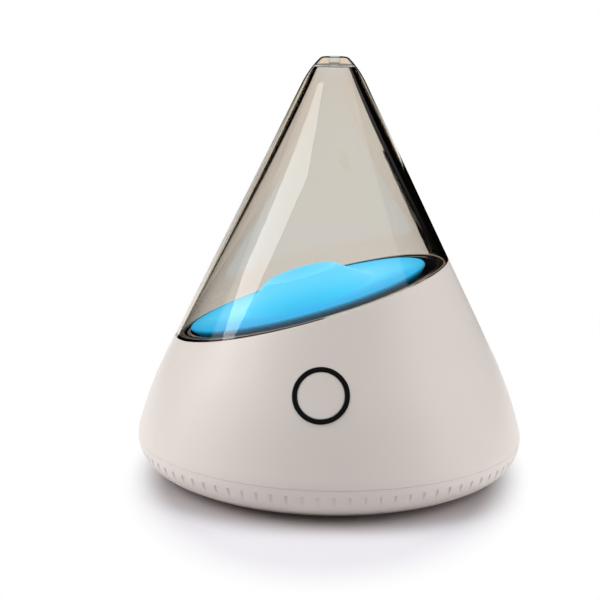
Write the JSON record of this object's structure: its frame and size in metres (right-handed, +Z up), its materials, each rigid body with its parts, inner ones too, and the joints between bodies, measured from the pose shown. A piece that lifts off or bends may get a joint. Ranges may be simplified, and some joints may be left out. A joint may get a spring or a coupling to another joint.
{
  "type": "essential oil diffuser",
  "caption": "Cone-shaped ultrasonic aroma diffuser with a slanted rim, a lift-off smoke-tinted cover, a blue lit inner cover with a mist crater, and a flush round push button.",
  "frame": {"origin": "on the cone's axis, at the table under the feet", "axes": "+Z up along the cone's axis, -Y towards the button, +X the way the slanted rim climbs, +Y towards the low-voltage socket"},
  "size_m": [0.15, 0.15, 0.1609],
  "materials": {
    "smoke_plastic": "clear, lightly smoke tinted, polished",
    "housing_abs": "warm greyish beige, fine satin texture",
    "base_abs": "warm greyish beige, fine satin texture",
    "blue_plastic": "sky-blue translucent, satin, lit from below",
    "button_abs": "same beige as the housing, satin",
    "gloss_black": "high-gloss black",
    "circuit_board": "green solder mask",
    "lamp_board": "white solder mask",
    "screw_steel": "zinc plated",
    "black_screw_steel": "black oxide",
    "black_plastic": "black, matt",
    "plunger_plastic": "dark grey, matt",
    "tank_plastic": "dark smoke, translucent, satin",
    "seal_rubber": "grey silicone",
    "piezo_metal": "nickelled disc with a silver electrode",
    "clamp_plastic": "natural white, matt",
    "lamp_lens": "white lamp body with a clear blue-lit lens",
    "ferrite": "dark ferrite with lacquered copper winding",
    "heat_sink_metal": "natural extruded aluminium",
    "capacitor_sleeve": "dark sleeve",
    "impeller_plastic": "black, slightly satin",
    "socket_plastic": "black",
    "nut_brass": "nickelled brass",
    "foot_rubber": "dark grey"
  },
  "bodies": {
    "housing": {"upper_housing": "housing_abs", "base_cover": "base_abs", "button_bezel": "gloss_black", "button_board": "circuit_board", "button_screws": "screw_steel", "tact_switch": "black_plastic", "water_tank": "tank_plastic", "tank_seal": "seal_rubber", "tank_screws": "black_screw_steel", "piezo_disc": "piezo_metal", "piezo_gasket": "seal_rubber", "piezo_clamp": "clamp_plastic", "clamp_screws": "screw_steel", "led_board": "lamp_board", "led_lamps": "lamp_lens", "led_screws": "screw_steel", "main_board": "circuit_board", "board_screws": "screw_steel", "driver_coil": "ferrite", "heat_sink": "heat_sink_metal", "capacitors": "capacitor_sleeve", "fan_housing": "black_plastic", "fan_screws": "screw_steel", "air_duct": "clamp_plastic", "air_riser": "clamp_plastic", "dc_jack": "socket_plastic", "jack_nut": "nut_brass", "base_screws": "screw_steel", "foot_1": "foot_rubber", "foot_2": "foot_rubber", "foot_3": "foot_rubber", "foot_4": "foot_rubber"},
    "cover": {"cone_cover": "smoke_plastic"},
    "inner_cover_body": {"inner_cover": "blue_plastic"},
    "button": {"button_cap": "button_abs", "switch_plunger": "plunger_plastic"},
    "impeller": {"fan_impeller": "impeller_plastic"}
  },
  "joints": [
    {"name": "cover_lift", "type": "slide", "parent": "housing", "child": "cover", "axis": [0, 0, 1], "range_m": [0, 0.2]},
    {"name": "inner_lift", "type": "slide", "parent": "housing", "child": "inner_cover_body", "axis": [0, 0, 1], "range_m": [0, 0.09]},
    {"name": "button_press", "type": "slide", "parent": "housing", "child": "button", "axis": [0, 0.8969, -0.4423], "range_m": [0, 0.0006], "stiffness_N_per_m": 2000},
    {"name": "fan_spin", "type": "hinge", "parent": "housing", "child": "impeller", "pos_m": [0.036, 0, 0.01], "axis": [0, 0, 1], "continuous": true}
  ],
  "couplings": [
    {"joint": "inner_lift", "follows": "cover_lift", "ratio": 0.45}
  ]
}
